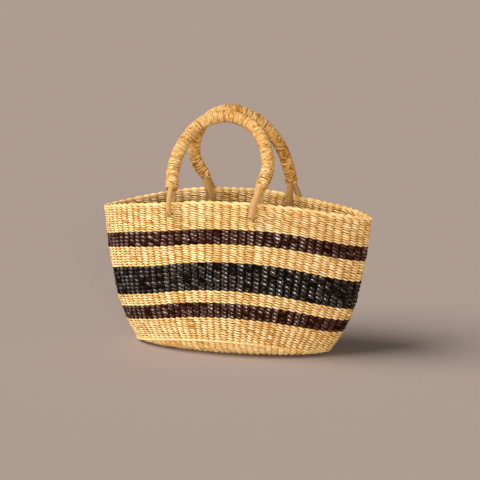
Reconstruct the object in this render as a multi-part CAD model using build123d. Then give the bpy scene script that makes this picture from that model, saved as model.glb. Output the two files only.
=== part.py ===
"""Woven market basket: an oval twined straw tote with two arched handles.

Frame: +X along the basket, +Y towards its back, +Z up, millimetres.
Origin: centre of the flat underside, on the surface that the basket stands on.
The whole wall is saddle shaped: every band of weft is a ring that is highest at the
middle of the long sides and dips towards the two ends of the basket.
"""
import math
import os

from build123d import *

# ---- Driving dimensions -------------------------------------------------------------

# Rings of the wall's outer face: half length, half depth, height at the middle of the
# long sides, dip at the ends, and how pointed the plan is (1 is an ellipse).
FOOT = (146.0, 60.0, 0.0, 0.0, 1.0)
RIDGE = (155.0, 86.0, 23.0, 20.0, 1.0)
BROWN_LOWER_FOOT = (175.5, 90.5, 60.0, 25.0, 1.05)
BROWN_LOWER_TOP = (183.5, 91.6, 82.0, 29.0, 1.1)
BLACK_FOOT = (190.6, 92.7, 101.0, 30.5, 1.15)
BLACK_TOP = (199.5, 93.7, 143.0, 31.0, 1.2)
BROWN_UPPER_FOOT = (206.0, 93.1, 170.5, 26.5, 1.25)
BROWN_UPPER_TOP = (209.0, 92.2, 192.5, 27.5, 1.3)
RIM_FOOT = (214.0, 90.2, 228.5, 24.0, 1.35)
RIM_TOP = (215.0, 90.0, 235.0, 24.0, 1.35)
MAT = (118.0, 48.0, 0.0, 0.0, 1.0)

WALL = 7.0               # thickness of the twined wall
FLOOR = 6.0              # thickness of the twined bottom
INNER_FOOT = (130.0, 52.0, FLOOR, 0.0, 1.0)
BORDER_PROUD = 1.5       # the rolled rim stands this far proud of both faces of the wall
CORD_PROUD = 4.0         # the ridge cord stands this far out from the wall
CORD_BELOW = 3.0
CORD_ABOVE = 4.0
SEAT_GAP = 0.3           # clear of the wall behind the ridge cord
RAIL_STEPS = 14          # points on half a ring

STAKE_COUNT = 74
STAKE_HALF_WIDTH = 1.6

HINGE_Y = 81.0           # the forks bend here, over the wall, on both sides
HINGE_Z = 250.0
WRAP_RADIUS = 9.7        # outside of the straw wrap on a handle
CORE_RADIUS = 7.5
WRAP_GAP = 0.1           # between the core of stems and the wrap round it
MAT_GAP = 0.15           # between the bottom mat and the turn round it
BINDING_RADIUS = 10.0    # also the rounded foot of a handle, centred on the hinge
BINDING_SHARE = 0.13     # part of the arch's length that each end binding covers
HANDLE_GAP = 1.2         # left between the two wraps where the handles lean together
TILT = 75.0              # degrees that a handle turns outwards
ARCH_SECTIONS = 22
BINDING_SECTIONS = 5

LEG_RADIUS = 5.2
LEG_CLEARANCE = 0.4      # between a leg's cut top and the knuckle above it
POST_CLEARANCE = 0.35    # and between its top and the handle that turns past it
LEG_SPREAD = 5.4         # how far a leg's top is from the hinge, in depth
LEG_DROP = 7.0           # how far a leg's top is below the hinge
LEG_BULGE = 0.5          # how far a leg swings wide of the rim's edge
LEG_SECTIONS = 6
OUTER_LEG_Y = 93.8       # the legs lie against the two faces of the rim
INNER_LEG_Y = 66.6
LEG_FOOT_Z = 206.0
STITCH_RADIUS = 1.1
STITCH_HEIGHTS = (212.0, 218.0)
STITCH_LEAN = 0.85       # share of a leg's lean that it has reached at the stitches

# How far each leg's lower end leans along the basket, left and right handle foot.
FRONT_OUTER_LEANS = (-1.0, -6.0)
FRONT_INNER_LEANS = (3.0, 0.0)
REAR_OUTER_LEANS = (12.0, 12.0)
REAR_INNER_LEANS = (16.0, 1.0)

# Each arch, looking along Y: across the basket, and up the sloping plane of the arch.
FRONT_ARCH = [(-74, 0), (-78, 28), (-73, 70), (-47, 114), (-10, 125.8),
              (27, 113), (58, 73), (67, 36), (60, 0)]
REAR_ARCH = [(-72, 0), (-84, 40), (-77, 76), (-38, 124), (-11, 132.4),
             (24, 119), (56, 74), (65, 36), (68, 0)]
FRONT_APEX_Z = 354.0
REAR_APEX_Z = 362.0


def save(name, shape):
    """Write one sub-part as its own file."""
    shape.label = name
    export_step(shape, f"parts/{name}.step")
    print(name, round(shape.volume), "mm3")


# ---- Rings ----------------------------------------------------------------------------

def grown(ring, offset, rise=0.0):
    """The same ring moved outwards and up."""
    length, depth, middle, dip, power = ring
    return (length + offset, depth + offset, middle + rise, dip, power)


def mixed(low, high, share):
    """A ring part of the way from one ring to another."""
    return tuple(a + share * (b - a) for a, b in zip(low, high))


def ring_point(ring, angle):
    """A point of a ring, at an angle round the plan."""
    length, depth, middle, dip, power = ring
    across = length * math.cos(angle)
    swing = math.copysign(abs(math.sin(angle)) ** power, math.sin(angle))
    return Vector(across, depth * swing, middle - dip * math.cos(angle) ** 2)


def half_rail(ring, side):
    """Half a ring as one smooth edge: side is -1 for the front and 1 for the back."""
    angles = [side * math.pi * step / RAIL_STEPS for step in range(RAIL_STEPS + 1)]
    return Edge.make_spline([ring_point(ring, angle) for angle in angles])


def ring_solid(rings):
    """A closed ring-shaped solid whose cross-section has one corner on each ring."""
    faces = []
    for side in (-1, 1):
        rails = [half_rail(ring, side) for ring in rings]
        for first, second in zip(rails, rails[1:] + rails[:1]):
            faces.append(Face.make_surface_from_curves(first, second))
    return Solid(Shell(faces))


def make_wall():
    """Seven bands of weft, the rolled rim, the ridge cord and the bottom."""
    bands = [
        ("weft_natural_bottom", RIDGE, BROWN_LOWER_FOOT),
        ("weft_brown_lower", BROWN_LOWER_FOOT, BROWN_LOWER_TOP),
        ("weft_natural_lower", BROWN_LOWER_TOP, BLACK_FOOT),
        ("weft_black", BLACK_FOOT, BLACK_TOP),
        ("weft_natural_upper", BLACK_TOP, BROWN_UPPER_FOOT),
        ("weft_brown_upper", BROWN_UPPER_FOOT, BROWN_UPPER_TOP),
        ("weft_natural_top", BROWN_UPPER_TOP, RIM_FOOT),
    ]
    for name, low, high in bands:
        save(name, ring_solid([low, high, grown(high, -WALL), grown(low, -WALL)]))

    outside = [grown(RIM_FOOT, BORDER_PROUD), grown(RIM_TOP, BORDER_PROUD)]
    inside = [grown(RIM_TOP, -WALL - BORDER_PROUD), grown(RIM_FOOT, -WALL - BORDER_PROUD)]
    save("rim_border", ring_solid(outside + inside))

    share = CORD_ABOVE / (BROWN_LOWER_FOOT[2] - RIDGE[2])
    seat_high = grown(mixed(RIDGE, BROWN_LOWER_FOOT, share), SEAT_GAP)
    seat_low = grown(RIDGE, SEAT_GAP, -CORD_BELOW)
    cord = [seat_low, seat_high, grown(seat_high, CORD_PROUD), grown(seat_low, CORD_PROUD)]
    save("base_ridge_cord", ring_solid(cord))

    mat_top = grown(MAT, 0, FLOOR)
    turn = [MAT, FOOT, RIDGE, grown(RIDGE, -WALL), INNER_FOOT, mat_top]
    save("base_turn", ring_solid(turn))
    mat_plan = Ellipse(MAT[0] - MAT_GAP, MAT[1] - MAT_GAP).face()
    save("base_mat", Solid.extrude(mat_plan, Vector(0, 0, FLOOR)))


def stake_angles():
    """Angles that space the stakes evenly round the rim."""
    steps = 1440
    angles = [2 * math.pi * step / steps for step in range(steps + 1)]
    travelled = [0.0]
    for start, end in zip(angles, angles[1:]):
        stride = (ring_point(RIM_TOP, end) - ring_point(RIM_TOP, start)).length
        travelled.append(travelled[-1] + stride)
    chosen = []
    for stake in range(STAKE_COUNT):
        target = travelled[-1] * (stake + 0.5) / STAKE_COUNT
        chosen.append(next(a for a, t in zip(angles, travelled) if t >= target))
    return chosen


def make_stakes():
    """The upright bundles that the weft is twined round, inside the wall."""
    rings = [grown(mixed(RIDGE, BROWN_LOWER_FOOT, 0.2), -WALL / 2), grown(BROWN_LOWER_TOP, -WALL / 2),
             grown(BLACK_TOP, -WALL / 2), grown(RIM_FOOT, -WALL / 2, -2)]
    stakes = []
    for angle in stake_angles():
        sections = []
        for ring in rings:
            plane = Plane(origin=ring_point(ring, angle), z_dir=(0, 0, 1))
            square = plane * Rectangle(2 * STAKE_HALF_WIDTH, 2 * STAKE_HALF_WIDTH)
            sections.append(square.face().outer_wire())
        stakes.append(Solid.make_loft(sections, ruled=True))
    save("side_stakes", Compound(children=stakes))


# ---- The handles ----------------------------------------------------------------------

def arch_points(side, arch, apex_z):
    """The arch's centre line in space; side is -1 at the front and 1 at the back."""
    apart = 2 * WRAP_RADIUS + HANDLE_GAP
    apex_y = math.sqrt(apart ** 2 - (REAR_APEX_Z - FRONT_APEX_Z) ** 2) / 2
    rise = apex_z - HINGE_Z
    run = HINGE_Y - apex_y
    top = max(point[1] for point in arch)
    points = []
    for across, up in arch:
        share = up / top
        points.append(Vector(across, side * (HINGE_Y - run * share), HINGE_Z + rise * share))
    return points


def tube(path, radius, level, sections):
    """A round tube along a path, smooth through its sections; level is a way across it."""
    rounds = []
    for section in range(sections + 1):
        share = section / sections
        here = Plane(origin=path @ share, x_dir=level, z_dir=path % share)
        rounds.append((here * Circle(radius)).face().outer_wire())
    return Solid.make_loft(rounds)


def make_handle(name, side, arch, apex_z):
    """One arch: a core of stems, the wrap round it and a thicker binding at each foot."""
    points = arch_points(side, arch, apex_z)
    path = Edge.make_spline(points)
    level = (points[4] - points[0]).cross(Vector(1, 0, 0))
    feet = (points[0], points[-1])
    save(f"{name}_core", tube(path, CORE_RADIUS, level, ARCH_SECTIONS))

    bore = tube(path, CORE_RADIUS + WRAP_GAP, level, ARCH_SECTIONS)
    middle = path.trim(BINDING_SHARE, 1 - BINDING_SHARE)
    save(f"{name}_wrap", tube(middle, WRAP_RADIUS, level, ARCH_SECTIONS) - bore)
    ends = {"left": path.trim(0, BINDING_SHARE), "right": path.trim(1 - BINDING_SHARE, 1)}
    for foot, (end_name, end_path) in zip(feet, ends.items()):
        knuckle = Pos(*foot) * Sphere(BINDING_RADIUS)
        binding = tube(end_path, BINDING_RADIUS, level, BINDING_SECTIONS) + knuckle
        save(f"{name}_{end_name}_binding", binding - bore)
    return feet, (path % 0, -(path % 1))


def turning_space(side, foot, upwards):
    """Solids for what the foot of a handle turns through, from rest to its full tilt."""
    knuckle = Pos(*foot) * Sphere(BINDING_RADIUS + LEG_CLEARANCE)
    round_end = Plane(origin=foot, z_dir=upwards) * Circle(BINDING_RADIUS + POST_CLEARANCE)
    post = extrude(round_end, 3 * BINDING_RADIUS)
    hinge = Axis((0, side * HINGE_Y, HINGE_Z), (-side, 0, 0))
    return (knuckle, post, post.rotate(hinge, TILT))


def leg_path(side, across, lean, top_y, foot_y):
    """Centre line of a fork leg, from under the hinge down one face of the wall."""
    away = foot_y + math.copysign(LEG_BULGE, foot_y - top_y)
    top = Vector(across, side * top_y, HINGE_Z - LEG_DROP)
    shoulder = Vector(across, side * away, RIM_TOP[2] + 3.5)
    waist = Vector(across + 0.5 * lean, side * away, RIM_TOP[2] - 3)
    return Edge.make_bezier(top, shoulder, waist, Vector(across + lean, side * foot_y, LEG_FOOT_Z))


def make_legs(name, side, feet, upwards, outer_leans, inner_leans):
    """The two forks of a handle: four legs and the stitches that tie them to the wall."""
    stitches = []
    for end, end_name in enumerate(("left", "right")):
        foot = feet[end]
        cutters = turning_space(side, foot, upwards[end])
        places = (("outer", HINGE_Y + LEG_SPREAD, OUTER_LEG_Y, outer_leans[end]),
                  ("inner", HINGE_Y - LEG_SPREAD, INNER_LEG_Y, inner_leans[end]))
        for place, top_y, foot_y, lean in places:
            path = leg_path(side, foot.X, lean, top_y, foot_y)
            leg = tube(path, LEG_RADIUS, (1, 0, 0), LEG_SECTIONS)
            for cutter in cutters:
                leg = (leg - cutter).solid()
            save(f"{name}_{end_name}_{place}_leg", leg)
        for height in STITCH_HEIGHTS:
            inside = Vector(foot.X + STITCH_LEAN * inner_leans[end], side * INNER_LEG_Y, height)
            outside = Vector(foot.X + STITCH_LEAN * outer_leans[end], side * OUTER_LEG_Y, height)
            through = outside - inside
            stitch = Plane(origin=inside, z_dir=through) * Circle(STITCH_RADIUS)
            stitches.append(extrude(stitch, through.length).solid())
    save(f"{name}_stitches", Compound(children=stitches))


os.makedirs("parts", exist_ok=True)
make_wall()
make_stakes()
front_feet, front_ways = make_handle("front_handle", -1, FRONT_ARCH, FRONT_APEX_Z)
make_legs("front_handle", -1, front_feet, front_ways, FRONT_OUTER_LEANS, FRONT_INNER_LEANS)
rear_feet, rear_ways = make_handle("rear_handle", 1, REAR_ARCH, REAR_APEX_Z)
make_legs("rear_handle", 1, rear_feet, rear_ways, REAR_OUTER_LEANS, REAR_INNER_LEANS)
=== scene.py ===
"""Looks of the woven market basket: twined straw wall, rolled rim and wrapped handles.

Every strand of straw is a tube of its own.
"""
import math

import bpy
import numpy as np
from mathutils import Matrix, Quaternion, Vector


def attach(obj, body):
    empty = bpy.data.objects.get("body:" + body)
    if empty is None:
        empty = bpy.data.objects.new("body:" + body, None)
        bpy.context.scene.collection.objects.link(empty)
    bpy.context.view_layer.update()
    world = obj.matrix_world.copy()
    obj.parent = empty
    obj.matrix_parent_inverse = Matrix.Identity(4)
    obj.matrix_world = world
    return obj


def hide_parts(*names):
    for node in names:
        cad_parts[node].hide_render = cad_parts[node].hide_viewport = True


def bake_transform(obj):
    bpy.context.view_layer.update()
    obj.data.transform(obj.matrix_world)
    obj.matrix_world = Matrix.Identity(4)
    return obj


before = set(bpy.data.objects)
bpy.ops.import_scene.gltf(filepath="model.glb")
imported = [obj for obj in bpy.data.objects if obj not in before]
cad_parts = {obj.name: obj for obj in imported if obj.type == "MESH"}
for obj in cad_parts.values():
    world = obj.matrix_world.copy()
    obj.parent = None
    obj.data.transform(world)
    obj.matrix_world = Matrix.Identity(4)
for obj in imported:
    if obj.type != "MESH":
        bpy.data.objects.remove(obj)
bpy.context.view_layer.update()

MM = 0.001
rng = np.random.default_rng(7)

# ---- The wall's rings, as in the CAD model -------------------------------------------
# Half length, half depth, height at the middle of the long sides, dip, pointedness.
CENTRE = (88.0, 0.5, 0.0, 0.0, 1.0)
FOOT = (146.0, 60.0, 0.0, 0.0, 1.0)
RIDGE = (155.0, 86.0, 23.0, 20.0, 1.0)
BROWN_LOWER_FOOT = (175.5, 90.5, 60.0, 25.0, 1.05)
BROWN_LOWER_TOP = (183.5, 91.6, 82.0, 29.0, 1.1)
BLACK_FOOT = (190.6, 92.7, 101.0, 30.5, 1.15)
BLACK_TOP = (199.5, 93.7, 143.0, 31.0, 1.2)
BROWN_UPPER_FOOT = (206.0, 93.1, 170.5, 26.5, 1.25)
BROWN_UPPER_TOP = (209.0, 92.2, 192.5, 27.5, 1.3)
RIM_FOOT = (214.0, 90.2, 228.5, 24.0, 1.35)
RIM_TOP = (215.0, 90.0, 235.0, 24.0, 1.35)
WALL_RINGS = np.array([RIDGE, BROWN_LOWER_FOOT, BROWN_LOWER_TOP, BLACK_FOOT, BLACK_TOP,
                       BROWN_UPPER_FOOT, BROWN_UPPER_TOP, RIM_FOOT, RIM_TOP])
WALL = 7.0
RIBS = 74                # stakes round the wall
BASE_RIBS = 74           # cells round the bottom
STEPS = 7                # samples of a strand for each rib


def hermite(xs, ys, x):
    """Smooth curve through points, for any columns of ys."""
    xs = np.asarray(xs, float)
    ys = np.asarray(ys, float)
    slopes = np.gradient(ys, xs, axis=0)
    i = int(np.clip(np.searchsorted(xs, x) - 1, 0, len(xs) - 2))
    span = xs[i + 1] - xs[i]
    t = (x - xs[i]) / span
    h00 = 2 * t ** 3 - 3 * t ** 2 + 1
    h10 = t ** 3 - 2 * t ** 2 + t
    h01 = -2 * t ** 3 + 3 * t ** 2
    h11 = t ** 3 - t ** 2
    return h00 * ys[i] + h10 * span * slopes[i] + h01 * ys[i + 1] + h11 * span * slopes[i + 1]


def wall_ring(height):
    """The wall's ring whose middle is at a height."""
    return hermite(WALL_RINGS[:, 2], WALL_RINGS, height)


def hump(x, middle, width):
    return np.exp(-((x - middle) / width) ** 2)


def hand_made(ring, across, angles):
    """How far the hand-made wall rises or sags from the even saddle."""
    middle = ring[2]
    belly = float(np.interp(middle, [23, 50, 143, 200, 235], [0.1, 0.6, 1.0, 0.6, 0.55]))
    front = np.clip(0.5 - np.sin(angles) * 3, 0, 1)
    sag = belly * (1.5 * hump(across, 50, 90) - 3.6 * hump(across, -115, 48)) * front
    drape = float(np.interp(middle, [23, 60, 101, 143, 200, 228], [0.1, 0.5, 0.6, 1, 1, 0.4]))
    sag = sag + drape * (2.3 * hump(across, 95, 62) - 1.8 * hump(across, -72, 50)) * front
    slope = float(np.interp(middle, [60, 235], [0, 1]))
    lift = slope * (3.0 * hump(across, -95, 70) - 4.0 * hump(across, 110, 60)) * (1 - front)
    return sag + lift


def ring_points(ring, angles):
    """Points of a ring at many angles round the plan."""
    length, depth, middle, dip, power = ring
    swing = np.sign(np.sin(angles)) * np.abs(np.sin(angles)) ** power
    across = length * np.cos(angles)
    heights = middle - dip * np.cos(angles) ** 2 + hand_made(ring, across, angles)
    return np.stack([across, depth * swing, heights], -1)


def even_angles(ring, count):
    """Angles that divide a ring evenly, with the first at the right-hand end."""
    fine = np.linspace(0, 2 * np.pi, 2881)
    points = ring_points(ring, fine)
    travelled = np.concatenate([[0], np.cumsum(np.linalg.norm(np.diff(points, axis=0), axis=1))])
    return np.interp(np.arange(count) / count * travelled[-1], travelled, fine)


def unit(vectors):
    return vectors / np.linalg.norm(vectors, axis=-1, keepdims=True)


# ---- Meshes from numbers ----------------------------------------------------------------

def tube(centres, side_axis, up_axis, width, height, sides, closed):
    """A tube of oval section: points, quads and the angle of each point round the tube."""
    count = len(centres)
    turn = 2 * np.pi * (np.arange(sides) + 0.5) / sides
    width = np.broadcast_to(width, count)[:, None, None]
    height = np.broadcast_to(height, count)[:, None, None]
    points = (centres[:, None, :] + side_axis[:, None, :] * width * np.cos(turn)[None, :, None]
              + up_axis[:, None, :] * height * np.sin(turn)[None, :, None]).reshape(-1, 3)
    rows = np.arange(count if closed else count - 1)
    a = rows[:, None] * sides + np.arange(sides)[None, :]
    b = rows[:, None] * sides + (np.arange(sides)[None, :] + 1) % sides
    c = ((rows[:, None] + 1) % count) * sides + (np.arange(sides)[None, :] + 1) % sides
    d = ((rows[:, None] + 1) % count) * sides + np.arange(sides)[None, :]
    quads = np.stack([a, d, c, b], -1).reshape(-1, 4)
    return points, quads, np.tile(turn, count)


class Strands:
    """Collects tubes into one mesh, with what the materials read from each point."""

    def __init__(self):
        self.points, self.faces, self.tone, self.depth, self.grain = [], [], [], [], []
        self.total = 0

    def add(self, centres, side_axis, up_axis, width, height, sides, closed, tone, depth,
            edge=0.45):
        """One strand along its centres; an open strand gets a cap at each end.

        depth is painted shade, 1 on a crest and less in a gap; edge is how much of it the flanks
        lose, painted shade where a strand lies against its neighbours.
        """
        points, quads, turn = tube(centres, side_axis, up_axis, width, height, sides, closed)
        count = len(centres)
        tone = np.broadcast_to(tone, count)
        depth = np.broadcast_to(depth, count)
        steps = np.linalg.norm(np.diff(centres, axis=0), axis=1)
        along = np.concatenate([[0], np.cumsum(steps)]) + rng.uniform(0, 500)
        self.points.append(points)
        self.faces.append(quads + self.total)
        self.tone.append(np.repeat(tone, sides))
        edges = np.repeat(np.broadcast_to(edge, count), sides)
        # Painted shade: the flanks, which face the neighbouring strands, are darkened.
        flanks = 1 - edges * (1 - np.abs(np.cos(turn)))
        self.depth.append(np.repeat(depth, sides) * flanks)
        self.grain.append(np.stack([np.repeat(along, sides), np.cos(turn), np.sin(turn)], -1))
        start = self.total
        self.total += len(points)
        if closed:
            return
        for end in (0, count - 1):
            ids = start + end * sides + np.arange(sides)
            after = np.roll(ids, -1)
            if end:
                ids, after = after, ids
            tip = np.full(sides, self.total)
            self.faces.append(np.stack([ids, after, tip, tip], -1))
            self.points.append(centres[end][None])
            self.tone.append(tone[end][None])
            self.depth.append(depth[end][None])
            self.grain.append(np.array([[along[end], 0, 0]]))
            self.total += 1

    def build(self, name, material):
        """Make the object, in metres."""
        points = np.concatenate(self.points) * MM
        faces = np.concatenate(self.faces)
        is_fan = faces[:, 2] == faces[:, 3]
        totals = np.where(is_fan, 3, 4)
        starts = np.concatenate([[0], np.cumsum(totals)[:-1]])
        keep = np.ones(faces.shape, bool)
        keep[is_fan, 3] = False
        loops = faces[keep]
        mesh = bpy.data.meshes.new(name)
        mesh.vertices.add(len(points))
        mesh.vertices.foreach_set("co", points.astype(np.float32).ravel())
        mesh.loops.add(len(loops))
        mesh.loops.foreach_set("vertex_index", loops.astype(np.int32))
        mesh.polygons.add(len(faces))
        mesh.polygons.foreach_set("loop_start", starts.astype(np.int32))
        mesh.polygons.foreach_set("loop_total", totals.astype(np.int32))
        mesh.polygons.foreach_set("use_smooth", np.ones(len(faces), bool))
        mesh.update(calc_edges=True)
        mesh.validate()
        for key, values in (("tone", self.tone), ("depth", self.depth)):
            attribute = mesh.attributes.new(key, "FLOAT", "POINT")
            attribute.data.foreach_set("value", np.concatenate(values).astype(np.float32))
        attribute = mesh.attributes.new("grain", "FLOAT_VECTOR", "POINT")
        attribute.data.foreach_set("vector", np.concatenate(self.grain).astype(np.float32).ravel())
        obj = bpy.data.objects.new(name, mesh)
        bpy.context.scene.collection.objects.link(obj)
        mesh.materials.append(material)
        return obj


# ---- Materials ----------------------------------------------------------------------------

FIBRE_BUMP = 0.35
FIBRE_HEIGHT = 0.0004    # metres
ROUGHNESS_SPREAD = 0.12
HONEY_SHADE = 0.27       # where the honey tone sits between deep and middle
# Gloss is read from tone times the painted shade of the depth attribute.
GLOSS_FROM = 0.38        # shade at which a strand starts to shine
GLOSS_TO = 0.95


def straw_material(name, deep, middle, crest, roughness, streak=0.5, fleck=None,
                   fleck_share=0.0, specular=0.5, along=0.16, honey=None):
    """Straw: darkened in the gaps and on the flanks by painted shade from the depth attribute,
    pale on the crests, streaked along every strand.
    """
    material = bpy.data.materials.new(name)
    material.use_nodes = True
    nodes, links = material.node_tree.nodes, material.node_tree.links
    shader = nodes["Principled BSDF"]
    tone = nodes.new("ShaderNodeAttribute")
    tone.attribute_name = "tone"
    depth = nodes.new("ShaderNodeAttribute")
    depth.attribute_name = "depth"
    grain = nodes.new("ShaderNodeAttribute")
    grain.attribute_name = "grain"

    stretch = nodes.new("ShaderNodeVectorMath")
    stretch.operation = "MULTIPLY"
    stretch.inputs[1].default_value = (along, 2.6, 2.6)
    links.new(grain.outputs["Vector"], stretch.inputs[0])
    fibres = nodes.new("ShaderNodeTexNoise")
    fibres.inputs["Scale"].default_value = 1.6
    fibres.inputs["Detail"].default_value = 4.0
    fibres.inputs["Roughness"].default_value = 0.6
    links.new(stretch.outputs[0], fibres.inputs["Vector"])

    ramp = nodes.new("ShaderNodeValToRGB")
    ramp.color_ramp.elements[0].position = 0.0
    ramp.color_ramp.elements[0].color = (*deep, 1)
    ramp.color_ramp.elements[1].position = 1.0
    ramp.color_ramp.elements[1].color = (*crest, 1)
    ramp.color_ramp.elements.new(0.5).color = (*middle, 1)
    if honey:
        ramp.color_ramp.elements.new(HONEY_SHADE).color = (*honey, 1)

    mixed = nodes.new("ShaderNodeMath")
    mixed.operation = "MULTIPLY_ADD"
    links.new(fibres.outputs["Fac"], mixed.inputs[0])
    mixed.inputs[1].default_value = streak
    mixed.inputs[2].default_value = -streak / 2
    toned = nodes.new("ShaderNodeMath")
    toned.operation = "ADD"
    links.new(mixed.outputs[0], toned.inputs[0])
    links.new(tone.outputs["Fac"], toned.inputs[1])
    # Tone times depth picks the colour, so the painted shade of the depth attribute pulls gaps and
    # flanks towards the deep colour.
    shade = nodes.new("ShaderNodeMath")
    shade.operation = "MULTIPLY"
    shade.use_clamp = True
    links.new(toned.outputs[0], shade.inputs[0])
    links.new(depth.outputs["Fac"], shade.inputs[1])
    links.new(shade.outputs[0], ramp.inputs["Fac"])
    colour = ramp.outputs["Color"]

    if fleck:
        spots = nodes.new("ShaderNodeTexNoise")
        spots.inputs["Scale"].default_value = 0.09
        spots.inputs["Detail"].default_value = 2.0
        links.new(grain.outputs["Vector"], spots.inputs["Vector"])
        limit = nodes.new("ShaderNodeMapRange")
        limit.inputs["From Min"].default_value = 1 - fleck_share
        limit.inputs["From Max"].default_value = 1 - fleck_share + 0.03
        links.new(spots.outputs["Fac"], limit.inputs["Value"])
        blend = nodes.new("ShaderNodeMix")
        blend.data_type = "RGBA"
        blend.inputs["B"].default_value = (*fleck, 1)
        links.new(limit.outputs["Result"], blend.inputs["Factor"])
        links.new(colour, blend.inputs["A"])
        colour = blend.outputs["Result"]
    links.new(colour, shader.inputs["Base Color"])

    rough = nodes.new("ShaderNodeMapRange")
    rough.inputs["To Min"].default_value = roughness - ROUGHNESS_SPREAD
    rough.inputs["To Max"].default_value = roughness + ROUGHNESS_SPREAD
    links.new(fibres.outputs["Fac"], rough.inputs["Value"])
    links.new(rough.outputs["Result"], shader.inputs["Roughness"])
    lift = nodes.new("ShaderNodeBump")
    lift.inputs["Strength"].default_value = FIBRE_BUMP
    lift.inputs["Distance"].default_value = FIBRE_HEIGHT
    links.new(fibres.outputs["Fac"], lift.inputs["Height"])
    links.new(lift.outputs["Normal"], shader.inputs["Normal"])
    # Gloss follows the same painted shade, so the shaded gaps and flanks get no specular.
    gloss = nodes.new("ShaderNodeMapRange")
    gloss.inputs["From Min"].default_value = GLOSS_FROM
    gloss.inputs["From Max"].default_value = GLOSS_TO
    gloss.inputs["To Max"].default_value = specular
    links.new(shade.outputs[0], gloss.inputs["Value"])
    links.new(gloss.outputs["Result"], shader.inputs["Specular IOR Level"])
    return material


natural = straw_material("natural_straw", (0.26, 0.090, 0.010), (0.725, 0.445, 0.148),
                         (0.96, 0.735, 0.395), 0.5, streak=0.8, honey=(0.50, 0.225, 0.040))
# A paler copy of the natural straw, used on the base ridge's cord: a painted highlight, so the
# ridge reads as a bright line.
ridge_highlight_straw = straw_material("bright_straw", (0.40, 0.18, 0.05), (0.76, 0.50, 0.21),
                        (0.95, 0.78, 0.46), 0.5, streak=0.4)
handle_straw = straw_material("handle_straw", (0.16, 0.070, 0.018), (0.66, 0.39, 0.125),
                              (0.98, 0.76, 0.43), 0.55, streak=1.1, along=0.42,
                              honey=(0.54, 0.24, 0.040))
# The legs' stems are darker than the handles' straw.
stem_straw = straw_material("stem_straw", (0.13, 0.060, 0.020), (0.46, 0.245, 0.080),
                            (0.82, 0.56, 0.27), 0.55, streak=1.0)
# The stakes' straw is kept dark as painted shade, for the gaps of the weave that show it.
inner_straw = straw_material("inner_straw", (0.07, 0.028, 0.008), (0.38, 0.19, 0.06),
                             (0.60, 0.38, 0.15), 0.7)
brown = straw_material("brown_straw", (0.004, 0.0008, 0.0004), (0.032, 0.0072, 0.0030),
                       (0.11, 0.030, 0.014), 0.26, fleck=(0.50, 0.26, 0.08),
                       fleck_share=0.31, specular=2.0)
black = straw_material("black_straw", (0.0018, 0.0014, 0.0012), (0.0070, 0.0056, 0.0048),
                       (0.020, 0.016, 0.014), 0.29, fleck=(0.22, 0.11, 0.05),
                       fleck_share=0.085, specular=2.0)


# ---- Twined rows ----------------------------------------------------------------------------

TWINE_SIDES = 6
GRIP = 0.6               # below 1, a strand stays out longer before it dives between ribs
COLUMN_SPREAD = 0.06     # in tone, from one column of floats to the next
CROSSING_SPREAD = 0.065  # where two strands cross, as a share of a rib
SIZE_SPREAD = 0.07       # how much a float swells or narrows
BOB_SHARE = 0.6          # wander up and down, as a share of the wander in and out
INSIDE_WANDER = 2.2      # times more wander on the inside of the wall
# Painted light and shade on the wall's two faces: the inside is lifted in tone because less light
# reaches it, and its crossings and flanks are darkened more than the outside's.
INSIDE_PAINTED_LIGHT = 0.04       # in tone
INSIDE_CROSSING_SHADE = 0.3       # depth at the crossings, on the inside
INSIDE_FLANK_SHADE = 0.95
OUTSIDE_FLANK_SHADE = 0.46


def surface(ring_at, v, angles, reach=0.6):
    """Points, outward axis and upward axis of a surface of rings along one row."""
    points = ring_points(ring_at(v), angles)
    up = unit(ring_points(ring_at(v + reach), angles) - ring_points(ring_at(v - reach), angles))
    ahead = unit(np.roll(points, -1, axis=0) - np.roll(points, 1, axis=0))
    out = unit(np.cross(ahead, up))
    return points, out, up


def per_rib(count, spread):
    """One random number for each rib, which float_values() reads."""
    return rng.normal(0, spread, count)


def float_values(values, phase):
    """The value of the float that each sample belongs to."""
    return values[np.round(phase).astype(int) % len(values)]


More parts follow.
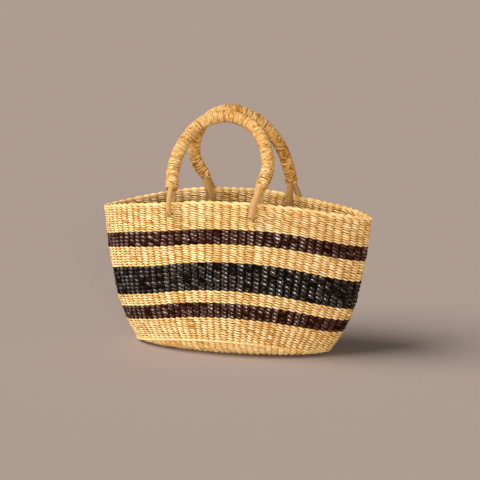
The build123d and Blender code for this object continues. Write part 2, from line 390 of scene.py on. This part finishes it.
def twined_rows(strands, ring_at, v_low, v_high, rows, ribs, throw, slant, thickness, tones,
                jitter=0.15, squeeze=0.47, groove=0.46):
    """Rows of plain twining: two strands that pass each other between every two ribs.

    throw is how far a strand swings out of the wall's middle, slant how far it climbs in a float,
    squeeze the share of its height that it keeps at a crossing, and groove the depth that the
    materials read there, painted shade at the crossing.
    """
    count = ribs * STEPS
    base_angles = even_angles(RIM_TOP, count)
    phase = np.arange(count) / STEPS - 0.5
    edges = [v_low + (v_high - v_low) * row / rows for row in range(rows + 1)]
    knots = np.arange(0, count + STEPS, STEPS)
    columns = float_values(per_rib(ribs, COLUMN_SPREAD), phase)
    for row in range(rows):
        middle = (edges[row] + edges[row + 1]) / 2
        strays = rng.normal(0, CROSSING_SPREAD, ribs + 1)
        strays[-1] = strays[0]
        crossing = phase + np.interp(np.arange(count), knots, strays)
        points, out, up = surface(ring_at, middle, base_angles)
        low = ring_points(ring_at(edges[row]), base_angles)
        high = ring_points(ring_at(edges[row + 1]), base_angles)
        spacing = np.linalg.norm(high - low, axis=1)
        for strand in (0, 1):
            swing = np.cos(np.pi * (crossing + strand))
            radial = np.sign(swing) * np.abs(swing) ** GRIP
            lean = np.sin(np.pi * (crossing + strand))
            push = float_values(per_rib(ribs, jitter), phase)
            bob = float_values(per_rib(ribs, jitter * BOB_SHARE), phase)
            size = 1 + float_values(per_rib(ribs, SIZE_SPREAD), phase) * np.abs(swing)
            inside = swing < 0
            calm = np.abs(swing) * np.where(inside, INSIDE_WANDER, 1.0)
            centres = points + out * (throw * radial + push * calm)[:, None]
            centres = centres + up * (-slant * lean + bob * calm)[:, None]
            height = spacing / 2 * (squeeze + (1.0 - squeeze) * np.abs(swing)) * size
            tone = tones[0] + columns + float_values(per_rib(ribs, tones[1]), phase)
            # Painted light: the inside of the wall is lifted in tone.
            tone = tone + np.where(inside, INSIDE_PAINTED_LIGHT, 0)
            # Painted shade: darker where the strand dives between the ribs; on the inside it
            # starts from a lower value and loses more on the flanks.
            depth = np.clip(np.where(inside, INSIDE_CROSSING_SHADE, groove) + np.abs(swing), 0, 1)
            strands.add(centres, out, up, thickness, height, TWINE_SIDES, True, tone, depth,
                        np.where(inside, INSIDE_FLANK_SHADE, OUTSIDE_FLANK_SHADE))


def mean_wall(height):
    """The ring of the wall's middle layer, where the stakes stand."""
    ring = wall_ring(height)
    ring[:2] -= WALL / 2
    return ring


def finish_piece(obj, body, slot, *nodes):
    """Put a piece on its body, in place of its plain CAD nodes."""
    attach(obj, body)
    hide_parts(*nodes)
    return obj


BANDS = [
    ("weft_natural_bottom", RIDGE, BROWN_LOWER_FOOT, 10, natural, "natural_straw"),
    ("weft_brown_lower", BROWN_LOWER_FOOT, BROWN_LOWER_TOP, 4, brown, "brown_straw"),
    ("weft_natural_lower", BROWN_LOWER_TOP, BLACK_FOOT, 5, natural, "natural_straw"),
    ("weft_black", BLACK_FOOT, BLACK_TOP, 7, black, "black_straw"),
    ("weft_natural_upper", BLACK_TOP, BROWN_UPPER_FOOT, 8, natural, "natural_straw"),
    ("weft_brown_upper", BROWN_UPPER_FOOT, BROWN_UPPER_TOP, 4, brown, "brown_straw"),
    ("weft_natural_top", BROWN_UPPER_TOP, RIM_FOOT, 11, natural, "natural_straw"),
]
# The dark straw wanders more than the natural straw, and its lower groove value paints more shade
# where its strands cross.
TWINING = {
    "natural_straw": {"slant": 0.8, "jitter": 0.26, "squeeze": 0.47, "groove": 0.46,
                      "tones": (0.80, 0.16)},
    "brown_straw": {"slant": 1.3, "jitter": 0.42, "squeeze": 0.6, "groove": 0.25,
                    "tones": (0.68, 0.15)},
    "black_straw": {"slant": 1.3, "jitter": 0.42, "squeeze": 0.6, "groove": 0.25,
                    "tones": (0.68, 0.17)},
}
WALL_THROW = 1.9
WALL_STRAND = 1.45       # half the thickness of a strand in the wall


def make_wall():
    for name, low, high, rows, material, slot in BANDS:
        strands = Strands()
        twined_rows(strands, mean_wall, low[2], high[2], rows, RIBS, WALL_THROW,
                    thickness=WALL_STRAND, **TWINING[slot])
        finish_piece(strands.build(f"twined_{name}", material), "basket", slot, name)


STAKE_HALF_DEPTH = 0.5
STAKE_HALF_WIDTH = 5.6
STAKE_POINTS = 14


def make_stakes():
    """Flat bundles of stems inside the wall, which the weft is twined round."""
    strands = Strands()
    angles = even_angles(RIM_TOP, 2 * RIBS)[1::2]
    heights = np.linspace(RIDGE[2] + 4, RIM_FOOT[2] - 3, STAKE_POINTS)
    paths = np.stack([ring_points(mean_wall(height), angles) for height in heights])
    _, out, _ = surface(mean_wall, 120, angles)
    for rib in range(RIBS):
        centres = paths[:, rib]
        up = unit(np.gradient(centres, axis=0))
        outward = unit(out[rib] - up * (up @ out[rib])[:, None])
        across = unit(np.cross(up, outward))
        # Tone 0.1 and depth 0.8: painted shade, as the stakes show only in the gaps of the weave.
        strands.add(centres, outward, across, STAKE_HALF_DEPTH, STAKE_HALF_WIDTH, 8, False,
                    0.1, 0.8)
    finish_piece(strands.build("grass_stakes", inner_straw), "basket", "inner_straw",
                 "side_stakes")


def base_ring(v):
    """Rings of the bottom: from the centre at 0, over the foot, to the ridge."""
    steps = [0.0, 60.0, 72.0, 95.0]
    shoulder = (151.5, 75.0, 7.5, 5.5, 1.0)
    return hermite(steps, np.array([CENTRE, FOOT, shoulder, RIDGE]), v)


MAT_EDGE = 48.0          # where the bottom mat ends and the turn begins, along base_ring()


def make_base():
    """The bottom mat and the turn round it, twined like the wall."""
    def raised(v):
        ring = base_ring(np.clip(v, 0.3, 95.0))
        ring[2] = max(ring[2], 0.0) + 3.2
        ring[1] = max(ring[1] - 0.8, 0.4)
        return ring
    mat = Strands()
    twined_rows(mat, raised, 1.0, MAT_EDGE, 8, BASE_RIBS // 2, 1.7, 1.2, 1.4, (0.55, 0.15))
    finish_piece(mat.build("twined_base_mat", natural), "basket", "natural_straw", "base_mat")
    turn = Strands()
    twined_rows(turn, raised, MAT_EDGE, 94.0, 10, BASE_RIBS, 1.5, 1.2, 1.5, (0.8, 0.17))
    finish_piece(turn.build("twined_base_turn", natural), "basket", "natural_straw", "base_turn")


ROPE_SIDES = 7


def rope(strands, ring, lift, ribs_per_turn, radius, strand_radius, plies, tone,
         thinning=((0, 1), (1, 1))):
    """Strands laid round a ring as a rope; thinning gives its thickness along the basket."""
    count = RIBS * STEPS
    angles = even_angles(RIM_TOP, count)
    ring = np.array(ring)
    ring[2] += lift
    points = ring_points(ring, angles)
    ahead = unit(np.roll(points, -1, axis=0) - np.roll(points, 1, axis=0))
    up = np.zeros_like(points)
    up[:, 2] = 1
    out = unit(np.cross(ahead, up))
    up = unit(np.cross(out, ahead))
    turns = round(RIBS / ribs_per_turn)
    thin = np.interp(points[:, 0], thinning[0], thinning[1])
    for ply in range(plies):
        angle = -2 * np.pi * (np.arange(count) * turns / count + ply / plies)
        angle = angle + np.interp(np.arange(count), np.arange(0, count + STEPS, STEPS),
                                  rng.normal(0, 0.35, RIBS + 1))
        centres = points + out * (radius * thin * np.cos(angle))[:, None]
        centres = centres + up * (radius * thin * np.sin(angle))[:, None]
        # Painted shade: each ply darkens as it turns round to the rope's inward side.
        depth = np.clip(0.88 + 0.25 * np.cos(angle), 0, 1)
        strands.add(centres, out, up, strand_radius * thin, strand_radius * thin, ROPE_SIDES,
                    True, tone + 0.12 * np.sin(angle * 0.37 + ply), depth)


def make_rim_and_ridge():
    border = Strands()
    rope(border, mean_wall(RIM_FOOT[2] + 2), 0.4, 2.0, 1.5, 2.0, 2, 0.85)
    finish_piece(border.build("rolled_rim_border", natural), "basket", "natural_straw",
                 "rim_border")
    cord = Strands()
    ring = np.array(RIDGE)
    ring[:2] += 0.6
    rope(cord, ring, 0.6, 1.0, 0.8, 1.0, 2, 0.8, ((20, 115), (1, 0.15)))
    finish_piece(cord.build("twined_base_ridge", ridge_highlight_straw), "basket", "bright_straw",
                 "base_ridge_cord")


# ---- Handles ----------------------------------------------------------------------------

HINGE_Y = 81.0
HINGE_Z = 250.0
WRAP_RADIUS = 9.7
# Points of each arch, as distance along the basket and height over the hinge.
FRONT_ARCH = [(-74, 0), (-78, 28), (-73, 70), (-47, 114), (-10, 125.8),
              (27, 113), (58, 73), (67, 36), (60, 0)]
REAR_ARCH = [(-72, 0), (-84, 40), (-77, 76), (-38, 124), (-11, 132.4),
             (24, 119), (56, 74), (65, 36), (68, 0)]
# The side that each handle is on, and how high its top reaches.
APEX = {"front": (-1, 354.0), "rear": (1, 362.0)}
STUB = 4.0               # the windings run this far past the hinge
ARCH_POINTS = 260
BINDING_SHARE = 0.13     # part of the arch's length that each end binding covers
WRAP_SIDES = 6
CORE_SIDES = 16
STEM_SIDES = 7
TURN_HALF_DEPTH = 0.95   # half the thickness of a wound strand
DARK_SHARE = 0.07        # of the turns, and how much darker they are
DARK_STEP = -0.4
APEX_Y = math.sqrt((2 * WRAP_RADIUS + 1.2) ** 2 - 8.0 ** 2) / 2


def arch_curve(side, arch, apex_z, count):
    """The arch's centre line as many evenly spaced points, and its length."""
    top = max(point[1] for point in arch)
    knots = np.array([(across, side * (HINGE_Y - (HINGE_Y - APEX_Y) * up / top),
                       HINGE_Z + (apex_z - HINGE_Z) * up / top) for across, up in arch], float)
    chord = np.concatenate([[0], np.cumsum(np.linalg.norm(np.diff(knots, axis=0), axis=1))])
    fine = np.array([hermite(chord, knots, t) for t in np.linspace(0, chord[-1], 400)])
    stubs = (fine[0] - STUB * unit(fine[1] - fine[0]), fine[-1] + STUB * unit(fine[-1] - fine[-2]))
    fine = np.vstack([stubs[:1], fine, stubs[1:]])
    travelled = np.concatenate([[0], np.cumsum(np.linalg.norm(np.diff(fine, axis=0), axis=1))])
    even = np.linspace(0, travelled[-1], count)
    return np.stack([np.interp(even, travelled, fine[:, i]) for i in range(3)], -1), travelled[-1]


def frames(points):
    """Two axes across a curve that turn as little as they can."""
    ahead = unit(np.gradient(points, axis=0))
    first = np.cross(ahead[0], (1.0, 0.0, 0.0))
    first = first if np.linalg.norm(first) > 0.2 else np.cross(ahead[0], (0.0, 1.0, 0.0))
    axes = [unit(first)]
    for direction in ahead[1:]:
        last = axes[-1] - direction * (axes[-1] @ direction)
        axes.append(unit(last))
    across = np.array(axes)
    return ahead, across, np.cross(ahead, across)


def wrap(strands, points, length, start, end, pitch, radius, strand_width, tones,
         rough=0.08, shade=0.21, taper=None, per_turn=16):
    """A strand wound round a curve from one length to another, turn against turn.

    tones gives the tone for a share of the curve; taper gives the radius for a length.
    """
    turns = max(2, round((end - start) / pitch))
    count = turns * per_turn
    ahead, across, beside = frames(points)
    lengths = np.linspace(start, end, count)
    where = lengths / length * (len(points) - 1)
    index = np.arange(len(points))

    def read(array):
        return np.stack([np.interp(where, index, array[:, i]) for i in range(3)], -1)

    centre, side_axis, other_axis = read(points), unit(read(across)), unit(read(beside))
    forward = unit(read(ahead))
    angle = 2 * np.pi * np.arange(count) / per_turn
    step = np.arange(count)
    turn_knots = np.arange(0, count + per_turn, per_turn)
    short_knots = np.arange(0, count + per_turn / 4, per_turn / 4)
    reach = radius + np.interp(step, turn_knots, rng.normal(0, rough, turns + 1))
    if taper is not None:
        reach = reach * np.interp(lengths, *taper)
    slip = np.interp(step, short_knots, rng.normal(0, pitch * rough, 4 * turns + 1))
    out = side_axis * np.cos(angle)[:, None] + other_axis * np.sin(angle)[:, None]
    centres = centre + out * reach[:, None] + forward * slip[:, None]
    tone = np.interp(lengths / length, *tones)
    tone = tone + rng.normal(0, shade, count)
    dark_turns = np.where(rng.random(turns) < DARK_SHARE, DARK_STEP, 0)
    tone = tone + np.repeat(dark_turns, per_turn)
    # The depth of 1.05 and edge of 0.8 paint shade on the flanks of each turn, next to its
    # neighbours.
    strands.add(centres, out, forward, TURN_HALF_DEPTH, strand_width, WRAP_SIDES, False,
                np.clip(tone, 0.05, 1.2), 1.05, 0.8)


def solid_core(strands, points, radius, tone):
    """A plain bundle along a curve, under a wrap, darkened by painted shade (depth 0.6) where it
    shows between the strands laid over it.
    """
    _, across, beside = frames(points)
    strands.add(points, across, beside, radius, radius, CORE_SIDES, False, tone, 0.6)


def bundle(strands, points, radius, count, strand_radius, twist, tone):
    """Stems laid side by side along a curve, with a slow twist."""
    _, across, beside = frames(points)
    share = np.linspace(0, 1, len(points))
    for stem in range(count):
        angle = 2 * np.pi * stem / count + twist * share
        out = across * np.cos(angle)[:, None] + beside * np.sin(angle)[:, None]
        around = beside * np.cos(angle)[:, None] - across * np.sin(angle)[:, None]
        reach = radius * (1 + rng.normal(0, 0.03))
        strands.add(points + out * reach, out, around, 0.9, strand_radius, STEM_SIDES, False,
                    tone + rng.normal(0, 0.06), 1.0)


# Tones along each handle, from left to right: shares of its length, and the tone at each.
TONES = {
    "front": ((0.0, 0.2, 0.45, 0.62, 0.8, 1.0), (0.60, 0.66, 0.64, 0.55, 0.57, 0.56)),
    # For the rear handle, the low tones from 0.8 of its length to the right end are partly painted
    # shade, as that end stands in shade.
    "rear": ((0.0, 0.3, 0.515, 0.525, 0.55, 0.56, 0.70, 0.80, 0.865, 0.875, 1.0),
             (0.40, 0.46, 0.66, 0.36, 0.36, 0.72, 0.56, 0.34, 0.25, 0.40, 0.30)),
}
# Share of the full radius that the windings keep at each foot, and over what length.
FOOT_TAPERS = {("front", "left"): (0.62, 2.5), ("front", "right"): (0.60, 19.0),
               ("rear", "left"): (0.66, 15.0), ("rear", "right"): (0.62, 2.5)}
# Pitch, half width of the strand, wander and shade of a binding; the rear left one is coarse.
FINE_BINDING = (1.8, 0.84, 0.12, 0.28)
COARSE_BINDING = (3.4, 1.6, 0.3, 0.28)


def make_handle(name, arch):
    """The arch of a handle: a core of stems, its wrap and a binding at each end."""
    side, apex_z = APEX[name]
    points, length = arch_curve(side, arch, apex_z, ARCH_POINTS)
    body = f"{name}_handle"
    left_share, left_run = FOOT_TAPERS[name, "left"]
    right_share, right_run = FOOT_TAPERS[name, "right"]
    taper = ((0, left_run, length - right_run, length), (left_share, 1, 1, right_share))
    core = Strands()
    radii = (WRAP_RADIUS - 1.9) * np.interp(np.linspace(0, length, len(points)), *taper)
    # The core's low tone is painted shade too, for the gaps between the windings.
    solid_core(core, points, radii, 0.3)
    finish_piece(core.build(f"{name}_stem_bundle", handle_straw), body, "handle_straw",
                 f"{name}_handle_core")
    cover = Strands()
    bind_length = length * BINDING_SHARE
    wrap(cover, points, length, bind_length, length - bind_length, 1.75, WRAP_RADIUS - 0.95,
         0.82, TONES[name])
    finish_piece(cover.build(f"{name}_straw_wrap", handle_straw), body, "handle_straw",
                 f"{name}_handle_wrap")
    for end_name, start, end in (("left", 0.3, bind_length + 1),
                                 ("right", length - bind_length - 1, length - 0.3)):
        coarse = (name, end_name) == ("rear", "left")
        pitch, half_width, wander, shade = COARSE_BINDING if coarse else FINE_BINDING
        binding = Strands()
        wrap(binding, points, length, start, end, pitch, WRAP_RADIUS - 0.8, half_width,
             TONES[name], wander, shade, taper)
        finish_piece(binding.build(f"{name}_{end_name}_straw_binding", handle_straw), body,
                     "handle_straw", f"{name}_handle_{end_name}_binding")
    return points


# How far each leg's lower end leans along the basket, and its radius.
LEGS = {
    ("front", "left", "outer"): (-1.0, 3.9), ("front", "left", "inner"): (-5.0, 3.6),
    ("front", "right", "outer"): (-8.0, 5.2), ("front", "right", "inner"): (0.0, 4.2),
    ("rear", "left", "outer"): (13.0, 4.6), ("rear", "left", "inner"): (16.0, 5.2),
    ("rear", "right", "outer"): (12.0, 4.6), ("rear", "right", "inner"): (1.0, 5.2),
}
STEMS = 11               # in each leg
STEM_TONES = {"front": 0.66, "rear": 0.4}
# Height over the hinge, distance from the hinge in depth, and share of the lean.
LEG_ROUTE = [(12.0, 2.2, 0.0), (0.0, 4.4, 0.0), (-8.0, 7.4, 0.25), (-15.0, 10.8, 0.45),
             (-26.0, 12.0, 0.78), (-42.0, 11.6, 1.0)]


def make_legs(name, foot, tangent, end_name):
    """The fork under one foot of a handle: an outer and an inner leg."""
    side, apex_z = APEX[name]
    tilt = math.atan2(HINGE_Y - APEX_Y, apex_z - HINGE_Z)
    for place, way in (("outer", 1), ("inner", -1)):
        lean, radius = LEGS[name, end_name, place]
        knots = []
        for drop, offset, share in LEG_ROUTE:
            above = max(drop, 0)
            knots.append((foot[0] + lean * share + tangent * above,
                          side * (HINGE_Y - math.tan(tilt) * above + way * offset),
                          HINGE_Z + drop))
        knots = np.array(knots)
        chord = np.concatenate([[0], np.cumsum(np.linalg.norm(np.diff(knots, axis=0), axis=1))])
        points = np.array([hermite(chord, knots, t) for t in np.linspace(0, chord[-1], 60)])
        leg = Strands()
        solid_core(leg, points, radius - 0.8, 0.45)
        bundle(leg, points, radius - 0.8, STEMS, radius * 0.3, 0.8, STEM_TONES[name])
        wrap(leg, points, chord[-1], chord[-1] - 7.0, chord[-1] - 0.5, 1.7, radius - 0.2, 0.85,
             ((0, 1), (0.55, 0.55)), per_turn=12)
        obj = leg.build(f"{name}_{end_name}_{place}_fork", stem_straw)
        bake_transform(obj)
        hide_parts(f"{name}_handle_{end_name}_{place}_leg")


def make_handles():
    """Both handles, with the fork under each foot."""
    for name, arch in (("front", FRONT_ARCH), ("rear", REAR_ARCH)):
        points = make_handle(name, arch)
        for end_name, at, inward in (("left", 0, 1), ("right", -1, -2)):
            rise = points[inward] - points[at]
            foot = points[at] + STUB * unit(rise)
            make_legs(name, foot, rise[0] / rise[2], end_name)


# ---- Camera, floor and light ---------------------------------------------------------------

CAMERA_AZIMUTH = 16.25
CAMERA_ELEVATION = 9.0
CAMERA_DISTANCE = 2.1151
CAMERA_TARGET = (0.0085, 0.0, 0.1644)
CAMERA_ROLL = 0.587
SENSOR = 36
LENS = 103.47
# How the paper looks when lit: the world has this tone low down, so the floor meets no seam.
BACKDROP = (0.423, 0.332, 0.279, 1)
HORIZON_END = 0.125      # sine of the elevation up to which the world has the paper's tone
FILL_START = 0.16        # and from which it has the fill's
FLOOR_COLOUR = (0.371, 0.301, 0.269, 1)
SUN_COLOUR = (1.0, 0.97, 0.92)
KEY_FROM = (-0.64, -0.33, 0.68)
KEY = 4.1
KEY_SOFTNESS = 50
FRONT_FROM = (0.38, -0.91, 0.08)
FRONT = 3.4
FRONT_SOFTNESS = 24
FILL = 0.13


def make_camera():
    """The camera of the main view, in metres and degrees."""
    azimuth, elevation = math.radians(CAMERA_AZIMUTH), math.radians(CAMERA_ELEVATION)
    back = Vector((math.sin(azimuth) * math.cos(elevation),
                   -math.cos(azimuth) * math.cos(elevation), math.sin(elevation)))
    data = bpy.data.cameras.new("camera")
    data.lens = LENS
    data.sensor_width = SENSOR
    camera = bpy.data.objects.new("camera", data)
    bpy.context.scene.collection.objects.link(camera)
    camera.location = Vector(CAMERA_TARGET) + back * CAMERA_DISTANCE
    camera.rotation_mode = "QUATERNION"
    roll = Quaternion((0, 0, 1), math.radians(CAMERA_ROLL))
    camera.rotation_quaternion = (-back).to_track_quat("-Z", "Y") @ roll
    bpy.context.scene.camera = camera


def plain_material(name, colour):
    """A dull material of one colour."""
    material = bpy.data.materials.new(name)
    material.use_nodes = True
    shader = material.node_tree.nodes["Principled BSDF"]
    shader.inputs["Base Color"].default_value = colour
    shader.inputs["Roughness"].default_value = 1.0
    shader.inputs["Specular IOR Level"].default_value = 0.0
    return material


def make_floor():
    """A paper floor that runs far out, to a horizon of about its own tone."""
    near, far, wide = -9.0, 60.0, 40.0
    mesh = bpy.data.meshes.new("studio_paper")
    mesh.from_pydata([(-wide, near, 0), (wide, near, 0), (wide, far, 0), (-wide, far, 0)], [],
                     [(0, 1, 2, 3)])
    mesh.materials.append(plain_material("paper_floor", FLOOR_COLOUR))
    floor = bpy.data.objects.new("studio_paper", mesh)
    bpy.context.scene.collection.objects.link(floor)


def make_sun(name, strength, softness, way):
    """A sun of some softness in degrees; way points from the basket to the sun."""
    data = bpy.data.lights.new(name, "SUN")
    data.energy = strength
    data.angle = math.radians(softness)
    data.color = SUN_COLOUR
    sun = bpy.data.objects.new(name, data)
    sun.rotation_mode = "QUATERNION"
    sun.rotation_quaternion = Vector(way).to_track_quat("Z", "Y")
    bpy.context.scene.collection.objects.link(sun)


def make_light():
    """A soft key from the upper left, a low light from in front, and a weak fill from above."""
    world = bpy.data.worlds.new("studio")
    world.use_nodes = True
    nodes, links = world.node_tree.nodes, world.node_tree.links
    direction = nodes.new("ShaderNodeTexCoord")
    parts = nodes.new("ShaderNodeSeparateXYZ")
    links.new(direction.outputs["Generated"], parts.inputs[0])
    rise = nodes.new("ShaderNodeMapRange")
    rise.inputs["From Min"].default_value = HORIZON_END
    rise.inputs["From Max"].default_value = FILL_START
    links.new(parts.outputs["Z"], rise.inputs["Value"])
    sky = nodes.new("ShaderNodeMix")
    sky.data_type = "RGBA"
    sky.inputs["A"].default_value = BACKDROP
    sky.inputs["B"].default_value = (FILL, FILL * 0.98, FILL * 0.96, 1)
    links.new(rise.outputs["Result"], sky.inputs["Factor"])
    links.new(sky.outputs["Result"], nodes["Background"].inputs["Color"])
    bpy.context.scene.world = world
    make_sun("key", KEY, KEY_SOFTNESS, KEY_FROM)
    make_sun("front", FRONT, FRONT_SOFTNESS, FRONT_FROM)
    bpy.context.scene.view_settings.view_transform = "Standard"


make_wall()
make_stakes()
make_base()
make_rim_and_ridge()
make_handles()
make_camera()
make_floor()
make_light()

# The stitches are the CAD model's own solids, in the handles' straw.
for stitches in ("front_handle_stitches", "rear_handle_stitches"):
    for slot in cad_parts[stitches].material_slots:
        slot.material = handle_straw
